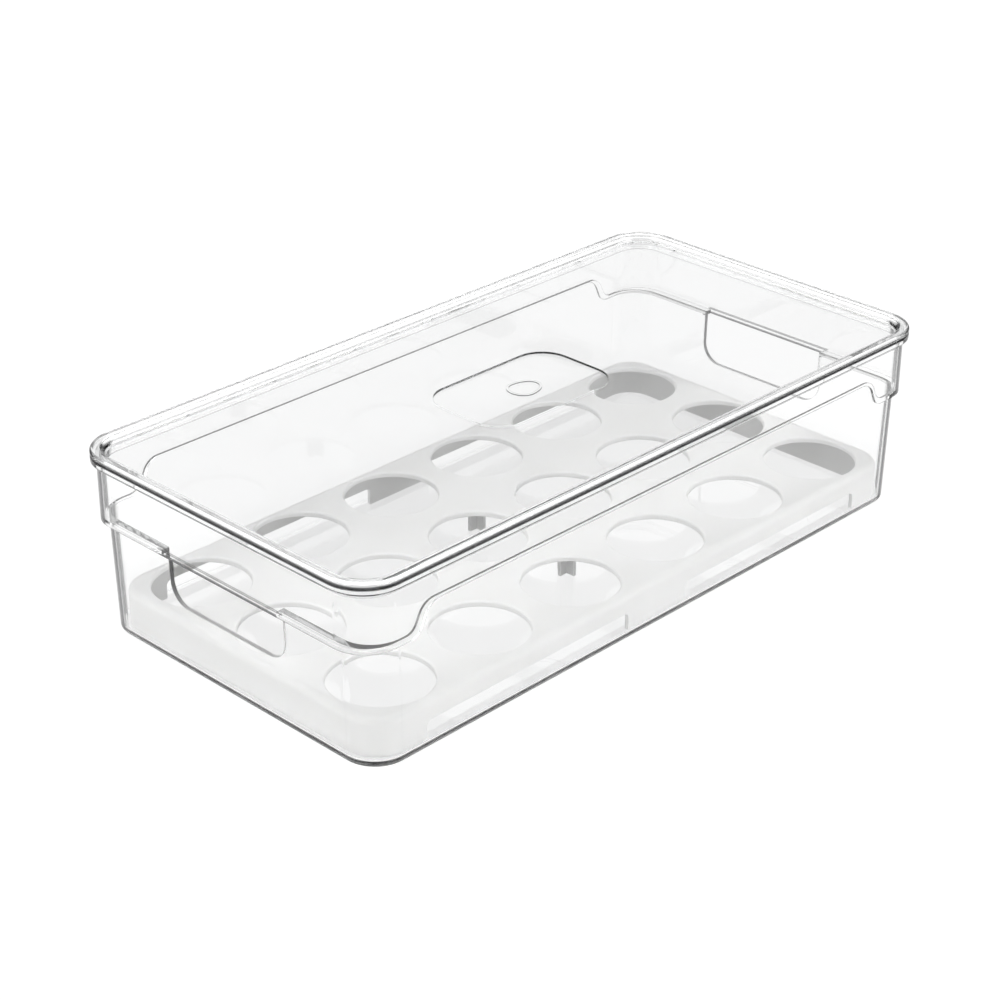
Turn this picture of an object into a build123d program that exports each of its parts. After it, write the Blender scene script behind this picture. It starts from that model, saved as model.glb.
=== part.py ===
"""Lidded clear storage bin with a removable tray for eighteen eggs.

Three moulded pieces: a clear bin, a clear lid that lifts off and a white egg tray that
stands on the floor of the bin. X runs along the bin, Y across it and Z up. The origin is
the centre of the bin's underside. Millimetres.
"""

import os

from build123d import *

# Overall size, with the lid on
LENGTH = 321.0
WIDTH = 160.5
HEIGHT = 78.5

# Bin
BIN_HEIGHT = 76.0
WALL = 1.8
FLOOR = 2.0
RIM_THICKNESS = 2.5
RIM_CORNER = 17.5
RIM_EDGE = 0.5
BASE_EDGE = 2.0
FLOOR_EDGE = 1.2
COLLAR_INSET = 2.2
LOWER_END_INSET_TOP = 5.8
LOWER_END_INSET_BASE = 7.1
LOWER_SIDE_INSET_TOP = 3.2
LOWER_SIDE_INSET_BASE = 3.6
LOWER_CORNER = 14.5

# The collar's lower edge: low at the ends and corners, high along the middle of the sides
COLLAR_LOW = 49.3
COLLAR_HIGH = 61.2
COLLAR_HIGH_LEDGE = 0.6
COLLAR_STEP_X = 132.0
COLLAR_STEP_RUN = 5.0
COLLAR_LOW_ROUND = 5.5
COLLAR_HIGH_ROUND = 8.0

# Hand openings, one in each end wall under the collar
HAND_WIDTH = 64.0
HAND_BASE = 27.8
HAND_ROUND = 9.0

# Lid
LID_GAP = 0.1
LID_RIM_WIDTH = 5.3
LID_RIM_SLOPE = 22.0
LID_RIM_ROUND = 1.2
LID_RIM_INNER_ROUND = 0.6
LID_SEAM_ROUND = 0.9
LID_PANEL_TOP = 75.4
LID_PANEL = 1.7
LIP_CLEARANCE = 0.3
LIP_THICKNESS = 1.7
LIP_BASE = 70.8
PATCH_LENGTH = 70.0
PATCH_WIDTH = 44.3
PATCH_ROUND = 13.0
PATCH_DEPTH = 0.7
EGG_MARK_WIDTH = 13.0
EGG_MARK_BLUNT = 5.8
EGG_MARK_POINT = 9.6
EGG_MARK_LINE = 1.0
EGG_MARK_RISE = 0.4

# Egg tray
TRAY_LENGTH = 298.6
TRAY_WIDTH = 146.6
TRAY_TOP = 18.0
TRAY_FOOT_GAP = 0.1
TRAY_CORNER = 13.0
TRAY_TOP_ROUND = 3.0
TRAY_SHEET = 2.3
TRAY_SKIRT = 1.7
EGGS_LONG = 6
EGGS_ACROSS = 3
EGG_PITCH = 50.0
EGG_HOLE = 39.1
EGG_HOLE_EDGE = 0.8
ARCH_INNER_X = 17.0
ARCH_OUTER_X = 125.5
ARCH_HEIGHT = 7.8
ARCH_ROUND = 2.5
POST_SPAN = 8.8
POST_THICKNESS = 1.5

# Reach past a face, so that a cut never ends on it
PAST = 5.0

os.makedirs("parts", exist_ok=True)

collar_length = LENGTH - 2 * COLLAR_INSET
collar_width = WIDTH - 2 * COLLAR_INSET
collar_corner = RIM_CORNER - COLLAR_INSET
rim_base = BIN_HEIGHT - RIM_THICKNESS
# The lower walls run up inside the collar as far as its highest ledge
lower_top = COLLAR_HIGH + COLLAR_HIGH_LEDGE / 2


def lower_size(height):
    """Length and width of the drafted lower body at a height above the underside."""
    share = height / COLLAR_LOW
    end_inset = LOWER_END_INSET_BASE + share * (LOWER_END_INSET_TOP - LOWER_END_INSET_BASE)
    side_inset = LOWER_SIDE_INSET_BASE + share * (LOWER_SIDE_INSET_TOP - LOWER_SIDE_INSET_BASE)
    return LENGTH - 2 * end_inset, WIDTH - 2 * side_inset


def collar_edge(low_shift, high_shift):
    """Region under the collar's S-shaped lower edge, seen from the side.

    For the inside of the collar, low_shift moves the low edge up and outwards by the wall, and
    high_shift moves the high edge up by less, because the step in the side walls is shallow.
    """
    low = COLLAR_LOW + low_shift
    high = COLLAR_HIGH + high_shift
    foot_x = COLLAR_STEP_X + low_shift
    head_x = foot_x - COLLAR_STEP_RUN
    end_x = LENGTH / 2 + PAST
    base = COLLAR_LOW - 2 * PAST
    corners = [
        (-end_x, base),
        (-end_x, low),
        (-foot_x, low),
        (-head_x, high),
        (head_x, high),
        (foot_x, low),
        (end_x, low),
        (end_x, base),
    ]
    with BuildSketch(Plane.XZ) as region:
        with BuildLine():
            Polyline(*corners, close=True)
        make_face()
        steps = region.vertices().filter_by_position(Axis.X, -foot_x - 1, foot_x + 1)
        fillet(steps.group_by(Axis.Y)[0], radius=COLLAR_LOW_ROUND)
        fillet(region.vertices().group_by(Axis.Y)[-1], radius=COLLAR_HIGH_ROUND)
    return region.sketch


# ---------------------------------------------------------------- bin: outer form and cavity
with BuildPart() as lower_form:
    with BuildSketch(Plane.XY):
        RectangleRounded(*lower_size(0), LOWER_CORNER)
    with BuildSketch(Plane.XY.offset(lower_top)):
        RectangleRounded(*lower_size(lower_top), LOWER_CORNER)
    loft()
    fillet(lower_form.faces().sort_by(Axis.Z)[0].edges(), radius=BASE_EDGE)

with BuildPart() as collar_form:
    with BuildSketch(Plane.XY.offset(COLLAR_LOW - PAST)):
        RectangleRounded(collar_length, collar_width, collar_corner)
    extrude(amount=BIN_HEIGHT - COLLAR_LOW + PAST)
    add(extrude(collar_edge(0, 0), amount=WIDTH, both=True), mode=Mode.SUBTRACT)

# Flat rim that carries the lid
with BuildPart() as rim_form:
    with BuildSketch(Plane.XY.offset(rim_base)):
        RectangleRounded(LENGTH, WIDTH, RIM_CORNER)
    extrude(amount=RIM_THICKNESS)
    fillet(rim_form.edges().filter_by(Axis.Z, reverse=True), radius=RIM_EDGE)

with BuildPart() as lower_cavity:
    inner_length, inner_width = lower_size(FLOOR)
    with BuildSketch(Plane.XY.offset(FLOOR)):
        RectangleRounded(inner_length - 2 * WALL, inner_width - 2 * WALL, LOWER_CORNER - WALL)
    inner_length, inner_width = lower_size(lower_top + WALL)
    with BuildSketch(Plane.XY.offset(lower_top + WALL)):
        RectangleRounded(inner_length - 2 * WALL, inner_width - 2 * WALL, LOWER_CORNER - WALL)
    loft()
    fillet(lower_cavity.faces().sort_by(Axis.Z)[0].edges(), radius=FLOOR_EDGE)

with BuildPart() as collar_cavity:
    with BuildSketch(Plane.XY.offset(COLLAR_LOW - PAST)):
        RectangleRounded(collar_length - 2 * WALL, collar_width - 2 * WALL, collar_corner - WALL)
    extrude(amount=BIN_HEIGHT + PAST - COLLAR_LOW + PAST)
    add(extrude(collar_edge(WALL, COLLAR_HIGH_LEDGE), amount=WIDTH, both=True), mode=Mode.SUBTRACT)

# ---------------------------------------------------------------- bin
with BuildPart() as clear_bin:
    add(lower_form.part)
    add(collar_form.part)
    add(rim_form.part)
    add(lower_cavity.part, mode=Mode.SUBTRACT)
    add(collar_cavity.part, mode=Mode.SUBTRACT)

    # U-shaped hand openings through both end walls, up to the collar's lower edge
    with BuildSketch(Plane.YZ) as hand_opening:
        with Locations((0, (HAND_BASE + COLLAR_LOW) / 2)):
            Rectangle(HAND_WIDTH, COLLAR_LOW - HAND_BASE)
        fillet(hand_opening.vertices().group_by(Axis.Y)[0], radius=HAND_ROUND)
    extrude(amount=LENGTH, both=True, mode=Mode.SUBTRACT)

    # The ledge between wall and collar is left out over each hand opening
    with Locations((0, 0, COLLAR_LOW + WALL / 2)):
        Box(collar_length - 2 * WALL, HAND_WIDTH, 2 * WALL, mode=Mode.SUBTRACT)
clear_bin.part.label = "bin"

# ---------------------------------------------------------------- lid
lip_length = collar_length - 2 * WALL - 2 * LIP_CLEARANCE
lip_width = collar_width - 2 * WALL - 2 * LIP_CLEARANCE
lip_corner = collar_corner - WALL - LIP_CLEARANCE
recess_length = LENGTH - 2 * LID_RIM_WIDTH
recess_width = WIDTH - 2 * LID_RIM_WIDTH
recess_corner = RIM_CORNER - LID_RIM_WIDTH
lid_base = BIN_HEIGHT + LID_GAP
panel_base = LID_PANEL_TOP - LID_PANEL

with BuildPart() as lid:
    # Rim that lies on the bin's rim, and a body that drops into the mouth of the bin
    with BuildSketch(Plane.XY.offset(lid_base)):
        RectangleRounded(LENGTH, WIDTH, RIM_CORNER)
    extrude(amount=HEIGHT - lid_base)
    with BuildSketch(Plane.XY.offset(LIP_BASE)):
        RectangleRounded(lip_length, lip_width, lip_corner)
    extrude(amount=HEIGHT - LID_PANEL - LIP_BASE)

    # Recess in the top for stacking, and the hollow underside inside the lip
    with BuildSketch(Plane.XY.offset(LID_PANEL_TOP)):
        RectangleRounded(recess_length, recess_width, recess_corner)
    extrude(amount=HEIGHT - LID_PANEL_TOP, taper=-LID_RIM_SLOPE, mode=Mode.SUBTRACT)
    with BuildSketch(Plane.XY.offset(LIP_BASE)):
        hollow_corner = lip_corner - LIP_THICKNESS
        RectangleRounded(lip_length - 2 * LIP_THICKNESS, lip_width - 2 * LIP_THICKNESS, hollow_corner)
    extrude(amount=panel_base - LIP_BASE, mode=Mode.SUBTRACT)

    # Rounded edges of the rim
    rim_underside = lid.faces().filter_by_position(Axis.Z, lid_base, lid_base)[0]
    fillet(rim_underside.outer_wire().edges(), radius=LID_SEAM_ROUND)
    fillet(lid.faces().sort_by(Axis.Z)[-1].outer_wire().edges(), radius=LID_RIM_ROUND)
    fillet(lid.faces().sort_by(Axis.Z)[-1].inner_wires()[0].edges(), radius=LID_RIM_INNER_ROUND)

    # Shallow patch in the middle of the panel
    with BuildSketch(Plane.XY.offset(LID_PANEL_TOP)):
        RectangleRounded(PATCH_LENGTH, PATCH_WIDTH, PATCH_ROUND)
    extrude(amount=-PATCH_DEPTH, mode=Mode.SUBTRACT)

    # Plain egg outline raised in the patch: half an ellipse at each end
    with BuildSketch(Plane.XY.offset(LID_PANEL_TOP - PATCH_DEPTH)):
        for inset, mode in ((0, Mode.ADD), (EGG_MARK_LINE, Mode.SUBTRACT)):
            half_width = EGG_MARK_WIDTH / 2 - inset
            with BuildLine():
                EllipticalCenterArc((0, 0), EGG_MARK_POINT - inset, half_width, -90, arc_size=180)
                EllipticalCenterArc((0, 0), EGG_MARK_BLUNT - inset, half_width, 90, arc_size=180)
            make_face(mode=mode)
    extrude(amount=EGG_MARK_RISE)
lid.part.label = "lid"

# ---------------------------------------------------------------- egg tray
tray_foot = FLOOR + TRAY_FOOT_GAP
arch_length = ARCH_OUTER_X - ARCH_INNER_X
arch_middle = (ARCH_OUTER_X + ARCH_INNER_X) / 2

with BuildPart() as egg_tray:
    with BuildSketch(Plane.XY.offset(tray_foot)):
        RectangleRounded(TRAY_LENGTH, TRAY_WIDTH, TRAY_CORNER)
    extrude(amount=TRAY_TOP - tray_foot)
    fillet(egg_tray.faces().sort_by(Axis.Z)[-1].edges(), radius=TRAY_TOP_ROUND)

    # Hollow underside, which leaves the top sheet and the skirt
    with BuildSketch(Plane.XY.offset(tray_foot)):
        hollow_corner = TRAY_CORNER - TRAY_SKIRT
        RectangleRounded(TRAY_LENGTH - 2 * TRAY_SKIRT, TRAY_WIDTH - 2 * TRAY_SKIRT, hollow_corner)
    extrude(amount=TRAY_TOP - TRAY_SHEET - tray_foot, mode=Mode.SUBTRACT)

    # Cross-shaped posts under the top sheet
    with BuildSketch(Plane.XY.offset(tray_foot)):
        with GridLocations(0, EGG_PITCH, 1, EGGS_ACROSS - 1):
            Rectangle(POST_SPAN, POST_THICKNESS)
            Rectangle(POST_THICKNESS, POST_SPAN)
    extrude(amount=TRAY_TOP - TRAY_SHEET / 2 - tray_foot)

    # Two low arches in each long side leave a middle foot and corner feet
    with BuildSketch(Plane.XZ) as arches:
        arch_head = tray_foot + ARCH_HEIGHT
        with Locations((-arch_middle, arch_head / 2), (arch_middle, arch_head / 2)):
            Rectangle(arch_length, arch_head)
        fillet(arches.vertices().group_by(Axis.Y)[-1], radius=ARCH_ROUND)
    extrude(amount=WIDTH, both=True, mode=Mode.SUBTRACT)

    # Egg holes
    with BuildSketch(Plane.XY.offset(TRAY_TOP)):
        with GridLocations(EGG_PITCH, EGG_PITCH, EGGS_LONG, EGGS_ACROSS):
            Circle(EGG_HOLE / 2)
    extrude(amount=-2 * TRAY_SHEET, mode=Mode.SUBTRACT)
    hole_edges = egg_tray.edges().filter_by(GeomType.CIRCLE).group_by(Axis.Z)[-1]
    fillet(hole_edges, radius=EGG_HOLE_EDGE)
egg_tray.part.label = "egg_tray"

export_step(clear_bin.part, "parts/bin.step")
export_step(lid.part, "parts/lid.step")
export_step(egg_tray.part, "parts/egg_tray.step")
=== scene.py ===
"""Clear lidded egg bin with a white egg tray, on a pale studio floor.

The bin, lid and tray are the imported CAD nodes. This script gives them their plastics, and
adds the floor, the light and the camera.
"""

import math

import bpy
from mathutils import Matrix, Vector


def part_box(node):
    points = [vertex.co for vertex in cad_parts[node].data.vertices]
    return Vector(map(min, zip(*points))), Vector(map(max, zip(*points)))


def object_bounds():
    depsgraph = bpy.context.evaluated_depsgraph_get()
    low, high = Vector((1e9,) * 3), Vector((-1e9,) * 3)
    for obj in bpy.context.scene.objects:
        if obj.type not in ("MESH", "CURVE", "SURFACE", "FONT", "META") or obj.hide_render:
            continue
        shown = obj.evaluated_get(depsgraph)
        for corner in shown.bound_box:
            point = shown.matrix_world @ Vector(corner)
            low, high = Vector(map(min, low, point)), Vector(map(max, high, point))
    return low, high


MM = 0.001

# Camera, as an orbit around a point just off the middle of the bin
CAMERA_AZIMUTH = -45.82
CAMERA_ELEVATION = 27.56
CAMERA_ROLL = 0.27
CAMERA_DISTANCE = 0.9535
CAMERA_TARGET = (-0.0234, -0.0111, 0.038)
CAMERA_LENS = 86.97
SENSOR = 36.0

# Sky brightness by the sine of the elevation: a dark horizon draws the edges of the clear plastic
SKY_STRENGTH = 2.2
SKY_STOPS = ((0.0, 0.02), (0.22, 0.02), (0.34, 0.35), (0.55, 0.38), (0.75, 1.0))

# Two low light panels, in front of the near end and the near side, for the tray's upright faces:
# each one's direction and grey, the cosines its rim fades between, and the sine of its top
PANELS = (((-0.95, 0.3, 0.0), 2.5), ((0.3, -0.95, 0.0), 2.7))
PANEL_RIM = (0.75, 0.92)
PANEL_TOP_SINE = 0.34
PANEL_TOP_SOFT = 0.05

# Direction of the near corner from the middle of the bin
NEAR = (-0.717, -0.697, 0.0)

# Floor
FLOOR_SIZE = 40.0
FLOOR_GAP = 0.4 * MM
FLOOR_GREY = 0.04
FLOOR_GLOW = 0.955
FLOOR_ROUGHNESS = 0.9

# Clear plastic: polystyrene
BIN_TINT = (0.997, 0.998, 0.998, 1)
LID_TINT = (0.965, 0.967, 0.968, 1)
CLEAR_IOR = 1.57
ABSORPTION_COLOUR = (0.1, 0.12, 0.12, 1)
ABSORPTION_DENSITY = 5.0

# Painted shade lines in the clear plastic: a near-black base colour along edges, seams and turned
# corners stands in for the dark refraction and internal reflection there. A sharp edge is found by
# the cosine between the normal and one bevelled over a radius, and a rounded upright corner by how
# far it turns away. LINE_SOFT is how softly most lines end.
PAINTED_EDGE_SHADE = (0.012, 0.012, 0.013, 1)
BIN_BEVEL = 0.35 * MM
LID_BEVEL = 0.6 * MM
BEVEL_SAMPLES = 6
SHARP_COSINES = (0.995, 0.93)
TURNED_AWAY = (0.4, 0.62)
CORNER_TURN = (0.03, 0.2)
LINE_SOFT = 0.1 * MM
UPRIGHT_NORMAL_Z = (0.5, 0.3)

# Rim: its outline, and heights of its two painted shade lines from the bin's top and from the rim's foot
RIM_CORNER = 17.5 * MM
RIM_SIDE = 1.0 * MM
RIM_DEPTH = 2.5 * MM
SEAM_LINE = (-0.45 * MM, 1.0 * MM)
SEAM_SOFT = 0.15 * MM
RIM_FOOT_LINE = (-0.4 * MM, 0.35 * MM)
RIM_NEAR = (12 * MM, 5 * MM)
RIM_FAR_STRENGTH = 0.25

# Lid: the top of its panel, and the sunk patch in it with the egg mark
# LID_EDGE_STRENGTH sets the painted shade lines along the lid's sharp edges, and PATCH_FACING the painted
# line on the patch's sides
LID_EDGE_STRENGTH = 0.2
LID_PANEL_TOP = 75.4 * MM
PATCH_DEPTH = 0.7 * MM
PATCH_REACH_X = 35.0 * MM
PATCH_REACH_Y = 22.0 * MM
PATCH_FACING = (0.04, 0.15)
MARK_REACH_X = 11.0 * MM
MARK_REACH_Y = 8.0 * MM

# Bin: its painted shade lines along edges and how they fade, the hand openings in its ends, and
# the painted shade lines on the lip over them. The hand fades are depths below an opening's top and
# base, and the lip lines are heights above its top.
BIN_EDGE_STRENGTH = 0.9
BIN_EDGE_FADE = 0.65
BASE_LINE = (2.2 * MM, 2.6 * MM)
BASE_LINE_SOFT = 0.08 * MM
BASE_LINE_NEAR = (-20 * MM, 80 * MM)
HAND_BASE = 27.8 * MM
HAND_TOP = 49.3 * MM
HAND_REACH = 33.0 * MM
HAND_TOP_FADE = (4 * MM, 14 * MM)
HAND_BASE_FADE = (1.5 * MM, 0.5 * MM)
LIP_LINES = ((0.0, 0.5 * MM), (2.0 * MM, 2.4 * MM))
END_DEPTH = 12.0 * MM
FAR_WALL = (68 * MM, 70 * MM)
FAR_WALL_FADE = (120 * MM, 20 * MM)

# Bin: its scuffed underside, the frosted cut faces of its hand openings, and its moulding waves.
# Each noise, here and below, is a scale and a detail.
FOOT_RING_X = 16.0 * MM
FOOT_RING_Y = 13.0 * MM
FOOT_RING_SOFT = 2.0 * MM
UNDERSIDE = (1.9 * MM, 1.6 * MM)
SCUFF_NOISE = (260.0, 4.0)
SCUFF_SPREAD = (0.3, 0.7)
SCUFF_ROUGHNESS = 0.3
SCUFF_VARIATION = 0.2
CUT_NORMAL_X = (0.3, 0.1)
CUT_MARGIN = 0.2 * MM
FROST = 0.5
WAVE_NOISE = (22.0, 1.0)
WAVE_STRENGTH = 0.04
WAVE_HEIGHT = 1.0 * MM

# White plastic: polypropylene with a fine satin texture
WHITE = (0.925, 0.925, 0.92, 1)
WHITE_SHADED = (0.9, 0.9, 0.893, 1)
# The next white is painted shade for the tray's faces under its sheet, inside its skirt
WHITE_PAINTED_SHADE = (0.68, 0.68, 0.675, 1)
TRAY_CORNER = 13.0 * MM
TRAY_SHEET = 2.3 * MM
TRAY_SKIRT = 1.7 * MM
CLOUD_NOISE = (45.0, 3.0)
CLOUD_SPREAD = (0.35, 0.65)
GRAIN_NOISE = (2600.0, 3.0)
GRAIN_STRENGTH = 0.25
GRAIN_HEIGHT = 0.03 * MM
SATIN_ROUGHNESS = 0.38
SATIN_VARIATION = 0.12
GLOW_THROUGH = 0.25
GLOW_RADIUS = (1.0, 1.0, 0.95)
GLOW_DEPTH = 1.5 * MM


class Shading:
    """A material or world node tree, built from small named steps."""

    def __init__(self, owner):
        owner.use_nodes = True
        self.nodes = owner.node_tree.nodes
        self.links = owner.node_tree.links

    def add(self, kind, **settings):
        node = self.nodes.new(kind)
        for name, value in settings.items():
            setattr(node, name, value)
        return node

    def feed(self, socket, value):
        if isinstance(value, bpy.types.NodeSocket):
            self.links.new(value, socket)
        else:
            socket.default_value = value

    def math(self, operation, first, second=0.0):
        node = self.add("ShaderNodeMath", operation=operation)
        self.feed(node.inputs[0], first)
        self.feed(node.inputs[1], second)
        return node.outputs["Value"]

    def join(self, operation, values):
        result = values[0]
        for value in values[1:]:
            result = self.math(operation, result, value)
        return result

    def product(self, *values):
        return self.join("MULTIPLY", values)

    def total(self, *values):
        return self.join("ADD", values)

    def highest(self, *values):
        return self.join("MAXIMUM", values)

    def magnitude(self, value):
        return self.math("ABSOLUTE", value)

    def ramp(self, value, low, high):
        """0 below low and 1 above high, with a smooth step between. low may be the larger."""
        node = self.add("ShaderNodeMapRange", interpolation_type="SMOOTHSTEP")
        self.feed(node.inputs["Value"], value)
        node.inputs["From Min"].default_value = low
        node.inputs["From Max"].default_value = high
        return node.outputs["Result"]

    def band(self, value, low, high, soft):
        """1 between low and high, and 0 outside them."""
        above_low = self.ramp(value, low - soft, low + soft)
        below_high = self.ramp(value, high + soft, high - soft)
        return self.product(above_low, below_high)

    def past(self, value, limit, soft=MM):
        """1 where the value lies beyond plus or minus the limit."""
        return self.ramp(self.magnitude(value), limit, limit + soft)

    def within(self, value, limit, soft=MM):
        """1 where the value lies between plus and minus the limit."""
        return self.ramp(self.magnitude(value), limit + soft, limit)

    def mix(self, share, first, second):
        node = self.add("ShaderNodeMix", data_type="RGBA")
        self.feed(node.inputs["Factor"], share)
        self.feed(node.inputs[6], first)
        self.feed(node.inputs[7], second)
        return node.outputs[2]

    def split(self, vector):
        node = self.add("ShaderNodeSeparateXYZ")
        self.feed(node.inputs[0], vector)
        return node.outputs["X"], node.outputs["Y"], node.outputs["Z"]

    def dot(self, first, second):
        node = self.add("ShaderNodeVectorMath", operation="DOT_PRODUCT")
        self.feed(node.inputs[0], first)
        self.feed(node.inputs[1], second)
        return node.outputs["Value"]

    def bump(self, height, strength, distance):
        node = self.add("ShaderNodeBump")
        self.feed(node.inputs["Height"], height)
        node.inputs["Strength"].default_value = strength
        node.inputs["Distance"].default_value = distance
        return node.outputs["Normal"]


class Plastic(Shading):
    """A material with the place on the piece at hand."""

    def __init__(self, name):
        self.material = bpy.data.materials.new(name)
        super().__init__(self.material)
        self.shader = self.nodes["Principled BSDF"]
        self.place = self.add("ShaderNodeTexCoord").outputs["Object"]
        self.x, self.y, self.z = self.split(self.place)

    def read_normals(self, bevel_radius):
        self.normal = self.add("ShaderNodeNewGeometry").outputs["Normal"]
        self.normal_x, self.normal_y, normal_z = self.split(self.normal)
        self.upright = self.ramp(self.magnitude(normal_z), *UPRIGHT_NORMAL_Z)
        bevel = self.add("ShaderNodeBevel", samples=BEVEL_SAMPLES)
        bevel.inputs["Radius"].default_value = bevel_radius
        self.bevelled = bevel.outputs["Normal"]
        self.sharp = self.ramp(self.dot(self.bevelled, self.normal), *SHARP_COSINES)

    def noise(self, scale, detail):
        node = self.add("ShaderNodeTexNoise")
        self.feed(node.inputs["Vector"], self.place)
        node.inputs["Scale"].default_value = scale
        node.inputs["Detail"].default_value = detail
        return node.outputs["Fac"]

    def near_outline(self, far_corner, corner, depth):
        """1 within a depth of the sides of a rounded rectangle, and 0 further in."""
        past_x = self.highest(self.math("SUBTRACT", self.magnitude(self.x), far_corner[0] - corner), 0.0)
        past_y = self.highest(self.math("SUBTRACT", self.magnitude(self.y), far_corner[1] - corner), 0.0)
        squared = self.total(self.product(past_x, past_x), self.product(past_y, past_y))
        return self.ramp(self.math("SQRT", squared), corner - 1.2 * depth, corner - depth)


def add_camera():
    azimuth = math.radians(CAMERA_AZIMUTH)
    elevation = math.radians(CAMERA_ELEVATION)
    back = Vector((
        math.sin(azimuth) * math.cos(elevation),
        -math.cos(azimuth) * math.cos(elevation),
        math.sin(elevation),
    ))
    data = bpy.data.cameras.new("camera")
    data.lens = CAMERA_LENS
    data.sensor_width = SENSOR
    camera = bpy.data.objects.new("camera", data)
    bpy.context.scene.collection.objects.link(camera)
    turn = back.to_track_quat("Z", "Y").to_matrix().to_4x4()
    roll = Matrix.Rotation(math.radians(CAMERA_ROLL), 4, "Z")
    camera.matrix_world = Matrix.Translation(Vector(CAMERA_TARGET) + back * CAMERA_DISTANCE) @ turn @ roll
    bpy.context.scene.camera = camera


def add_world():
    world = bpy.data.worlds.new("studio")
    bpy.context.scene.world = world
    sky = Shading(world)
    sky.nodes.clear()
    direction = sky.add("ShaderNodeTexCoord").outputs["Generated"]
    upward = sky.split(direction)[2]
    colours = sky.add("ShaderNodeValToRGB")
    sky.feed(colours.inputs["Fac"], upward)
    elements = colours.color_ramp.elements
    for index, (place, grey) in enumerate(SKY_STOPS):
        stop = elements[index] if index < 2 else elements.new(place)
        stop.position = place
        stop.color = (grey, grey, grey, 1)
    colour = colours.outputs["Color"]
    low_down = sky.ramp(upward, PANEL_TOP_SINE + PANEL_TOP_SOFT, PANEL_TOP_SINE - PANEL_TOP_SOFT)
    for toward, grey in PANELS:
        panel = sky.product(sky.ramp(sky.dot(direction, toward), *PANEL_RIM), low_down)
        colour = sky.mix(panel, colour, (grey, grey, grey, 1))
    background = sky.add("ShaderNodeBackground")
    background.inputs["Strength"].default_value = SKY_STRENGTH
    sky.feed(background.inputs["Color"], colour)
    sky.feed(sky.add("ShaderNodeOutputWorld").inputs["Surface"], background.outputs["Background"])


def add_floor():
    bpy.ops.mesh.primitive_plane_add(size=FLOOR_SIZE, location=(0, 0, -FLOOR_GAP))
    floor = bpy.context.object
    floor.name = "floor"
    material = bpy.data.materials.new("floor")
    shader = Shading(material).nodes["Principled BSDF"]
    shader.inputs["Base Color"].default_value = (FLOOR_GREY, FLOOR_GREY, FLOOR_GREY, 1)
    shader.inputs["Roughness"].default_value = FLOOR_ROUGHNESS
    shader.inputs["Emission Color"].default_value = (1, 1, 1, 1)
    shader.inputs["Emission Strength"].default_value = FLOOR_GLOW
    floor.data.materials.append(material)


def painted_corner_shade(tree):
    """Painted shade on rounded upright corners where they turn away, standing in for their dark
    refraction.
    """
    weight = tree.add("ShaderNodeLayerWeight")
    weight.inputs["Blend"].default_value = 0.5
    turned = tree.ramp(weight.outputs["Facing"], *TURNED_AWAY)
    corner = tree.ramp(tree.magnitude(tree.product(tree.normal_x, tree.normal_y)), *CORNER_TURN)
    return tree.product(turned, corner)


def painted_rim_lines(tree):
    """Painted shade lines, standing in for dark reflections, along the seam between the rims and the foot
    of the bin's rim, stronger on near sides.
    """
    high = cad_box[1]
    rim_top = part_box("bin")[1][2]
    rim_foot = rim_top - RIM_DEPTH
    seam = tree.band(tree.z, rim_top + SEAM_LINE[0], rim_top + SEAM_LINE[1], SEAM_SOFT)
    foot = tree.band(tree.z, rim_foot + RIM_FOOT_LINE[0], rim_foot + RIM_FOOT_LINE[1], LINE_SOFT)
    near_x = tree.ramp(tree.x, RIM_NEAR[0] - high[0], RIM_NEAR[1] - high[0])
    near_y = tree.ramp(tree.y, RIM_NEAR[0] - high[1], RIM_NEAR[1] - high[1])
    near = tree.product(tree.highest(near_x, near_y), 1 - RIM_FAR_STRENGTH)
    return tree.product(
        tree.near_outline(high, RIM_CORNER, RIM_SIDE),
        tree.highest(seam, foot),
        tree.total(RIM_FAR_STRENGTH, near),
    )


def painted_base_line(tree):
    """Thin painted shade line on the walls just above the base, standing in for total internal reflection
    there, which fades out away from the near corner.
    """
    near = tree.ramp(tree.dot(tree.place, NEAR), *BASE_LINE_NEAR)
    return tree.product(tree.band(tree.z, *BASE_LINE, BASE_LINE_SOFT), tree.upright, near)


def at_hand(tree):
    """The end walls, over the width of a hand opening."""
    return tree.product(tree.past(tree.x, cad_box[1][0] - END_DEPTH), tree.within(tree.y, HAND_REACH))


def painted_lip_lines(tree):
    """Two fine painted shade lines along the lower lip of the bin's collar, over the hand openings,
    standing in for dark refraction there.
    """
    lines = [tree.band(tree.z, HAND_TOP + low, HAND_TOP + high, LINE_SOFT) for low, high in LIP_LINES]
    return tree.product(tree.highest(*lines), tree.upright, at_hand(tree))


def painted_bin_edge_lines(tree):
    """Painted shade lines along sharp edges, fainter low on the hand openings and along the far side."""
    low_on_hand = tree.product(
        tree.ramp(tree.z, HAND_TOP - HAND_TOP_FADE[0], HAND_TOP - HAND_TOP_FADE[1]),
        tree.ramp(tree.z, HAND_BASE - HAND_BASE_FADE[0], HAND_BASE - HAND_BASE_FADE[1]),
    )
    far_side = tree.product(tree.ramp(tree.y, *FAR_WALL), tree.ramp(tree.x, *FAR_WALL_FADE))
    faded = tree.product(tree.highest(low_on_hand, far_side), BIN_EDGE_FADE)
    edges = tree.product(tree.sharp, tree.math("SUBTRACT", BIN_EDGE_STRENGTH, faded))
    return tree.highest(edges, painted_base_line(tree), painted_lip_lines(tree))


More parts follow.
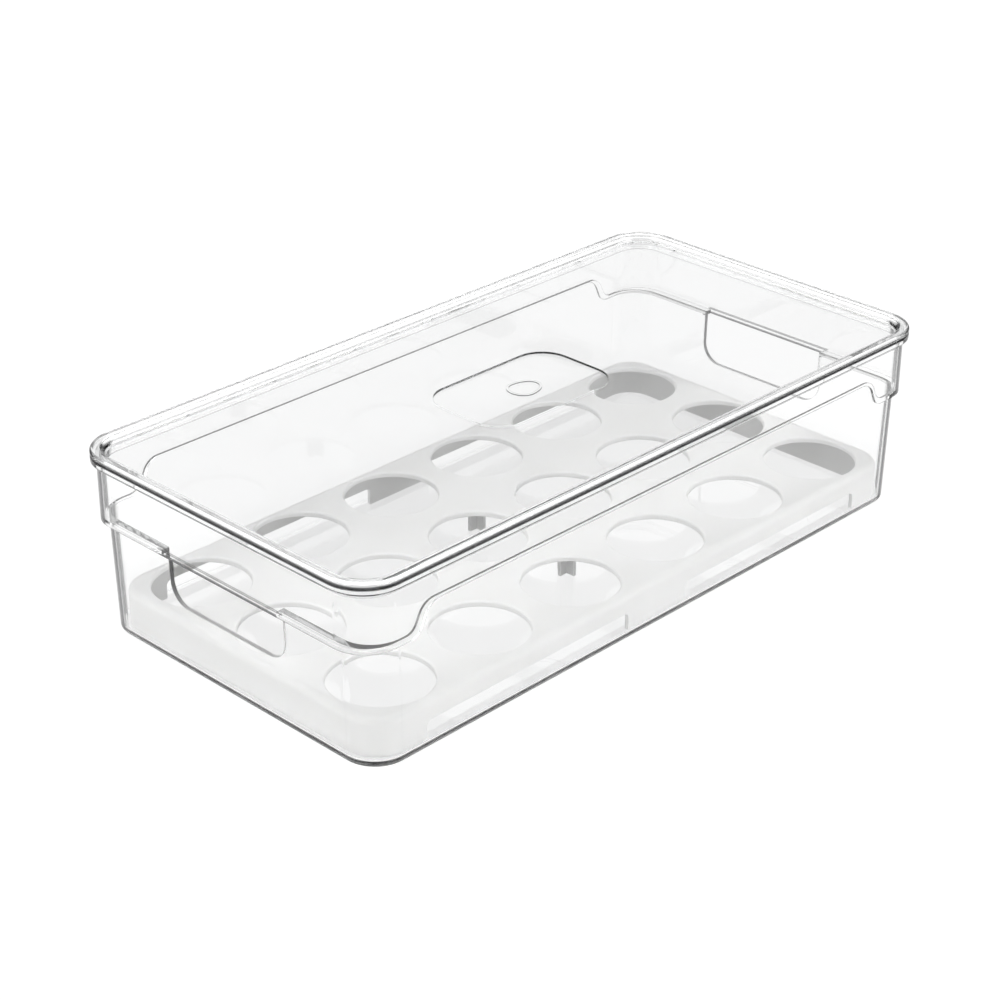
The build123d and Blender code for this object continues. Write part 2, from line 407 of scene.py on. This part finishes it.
def painted_lid_edge_lines(tree):
    """Faint painted shade lines along sharp edges, and a stronger painted one on the patch's two sides
    that face the near corner.
    """
    inside = tree.product(tree.within(tree.x, PATCH_REACH_X), tree.within(tree.y, PATCH_REACH_Y))
    clear_of_mark = tree.highest(tree.past(tree.x, MARK_REACH_X), tree.past(tree.y, MARK_REACH_Y))
    facing = tree.ramp(tree.dot(tree.bevelled, NEAR), *PATCH_FACING)
    high_up = tree.ramp(tree.z, LID_PANEL_TOP - 1.2 * PATCH_DEPTH, LID_PANEL_TOP - 1.1 * PATCH_DEPTH)
    patch = tree.product(inside, clear_of_mark, facing, high_up)
    return tree.highest(patch, tree.product(tree.sharp, LID_EDGE_STRENGTH))


def bin_wear(tree):
    """Underside scuffed around its rim from sliding, frosted cut faces and faint moulding waves."""
    high = cad_box[1]
    ring = tree.highest(
        tree.past(tree.x, high[0] - FOOT_RING_X, FOOT_RING_SOFT),
        tree.past(tree.y, high[1] - FOOT_RING_Y, FOOT_RING_SOFT),
    )
    scuffs = tree.product(tree.ramp(tree.noise(*SCUFF_NOISE), *SCUFF_SPREAD), SCUFF_VARIATION)
    scuffed = tree.product(ring, tree.ramp(tree.z, *UNDERSIDE), tree.total(SCUFF_ROUGHNESS, scuffs))
    cut = tree.product(
        tree.band(tree.z, HAND_BASE - CUT_MARGIN, HAND_TOP, LINE_SOFT),
        tree.ramp(tree.magnitude(tree.normal_x), *CUT_NORMAL_X),
    )
    frosted = tree.product(cut, at_hand(tree), FROST)
    tree.feed(tree.shader.inputs["Roughness"], tree.highest(scuffed, frosted))
    waves = tree.noise(*WAVE_NOISE)
    tree.feed(tree.shader.inputs["Normal"], tree.bump(waves, WAVE_STRENGTH, WAVE_HEIGHT))


def clear_plastic(name, tint, bevel_radius, find_painted_lines):
    """Polished clear polystyrene, with painted shade along its edges and tight curves."""
    tree = Plastic(name)
    tree.read_normals(bevel_radius)
    painted_shade = tree.highest(painted_corner_shade(tree), painted_rim_lines(tree), find_painted_lines(tree))
    shader = tree.shader
    # Painted shade: the base colour goes near-black where the painted lines are
    tree.feed(shader.inputs["Base Color"], tree.mix(painted_shade, tint, PAINTED_EDGE_SHADE))
    shader.inputs["Roughness"].default_value = 0.0
    shader.inputs["IOR"].default_value = CLEAR_IOR
    shader.inputs["Transmission Weight"].default_value = 1.0
    absorption = tree.add("ShaderNodeVolumeAbsorption")
    absorption.inputs["Color"].default_value = ABSORPTION_COLOUR
    absorption.inputs["Density"].default_value = ABSORPTION_DENSITY
    tree.feed(tree.nodes["Material Output"].inputs["Volume"], absorption.outputs["Volume"])
    return tree


def white_plastic():
    """White polypropylene: satin, finely textured and slightly translucent, with painted shade under its
    sheet inside the skirt.
    """
    tree = Plastic("white_plastic")
    shader = tree.shader
    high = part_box("egg_tray")[1]
    under_sheet = tree.ramp(tree.z, high[2] - 0.8 * TRAY_SHEET, high[2] - TRAY_SHEET)
    outside = tree.near_outline(high, TRAY_CORNER, 0.7 * TRAY_SKIRT)
    under = tree.product(under_sheet, tree.math("SUBTRACT", 1.0, outside))
    cloudy = tree.ramp(tree.noise(*CLOUD_NOISE), *CLOUD_SPREAD)
    top = tree.mix(cloudy, WHITE_SHADED, WHITE)
    # Painted shade: a darker white under the sheet, inside the skirt, where shade falls
    tree.feed(shader.inputs["Base Color"], tree.mix(under, top, WHITE_PAINTED_SHADE))
    grain = tree.noise(*GRAIN_NOISE)
    roughness = tree.total(SATIN_ROUGHNESS, tree.product(grain, SATIN_VARIATION))
    tree.feed(shader.inputs["Roughness"], roughness)
    tree.feed(shader.inputs["Normal"], tree.bump(grain, GRAIN_STRENGTH, GRAIN_HEIGHT))
    shader.inputs["Subsurface Weight"].default_value = GLOW_THROUGH
    shader.inputs["Subsurface Radius"].default_value = GLOW_RADIUS
    shader.inputs["Subsurface Scale"].default_value = GLOW_DEPTH
    return tree


def dress(name, plastic):
    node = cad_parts[name]
    node.data.materials.clear()
    node.data.materials.append(plastic.material)


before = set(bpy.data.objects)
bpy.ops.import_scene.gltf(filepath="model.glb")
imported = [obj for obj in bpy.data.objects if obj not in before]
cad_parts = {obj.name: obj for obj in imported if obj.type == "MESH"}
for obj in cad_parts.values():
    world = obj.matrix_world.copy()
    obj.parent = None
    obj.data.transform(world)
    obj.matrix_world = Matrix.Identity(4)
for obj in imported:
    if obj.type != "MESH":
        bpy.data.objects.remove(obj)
cad_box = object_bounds()
add_camera()
bin_plastic = clear_plastic("bin_plastic", BIN_TINT, BIN_BEVEL, painted_bin_edge_lines)
bin_wear(bin_plastic)
dress("bin", bin_plastic)
dress("lid", clear_plastic("lid_plastic", LID_TINT, LID_BEVEL, painted_lid_edge_lines))
dress("egg_tray", white_plastic())
add_floor()
add_world()

scene = bpy.context.scene
scene.view_settings.view_transform = "Standard"
scene.cycles.max_bounces = 24
scene.cycles.transmission_bounces = 24
scene.cycles.glossy_bounces = 12
scene.cycles.transparent_max_bounces = 16
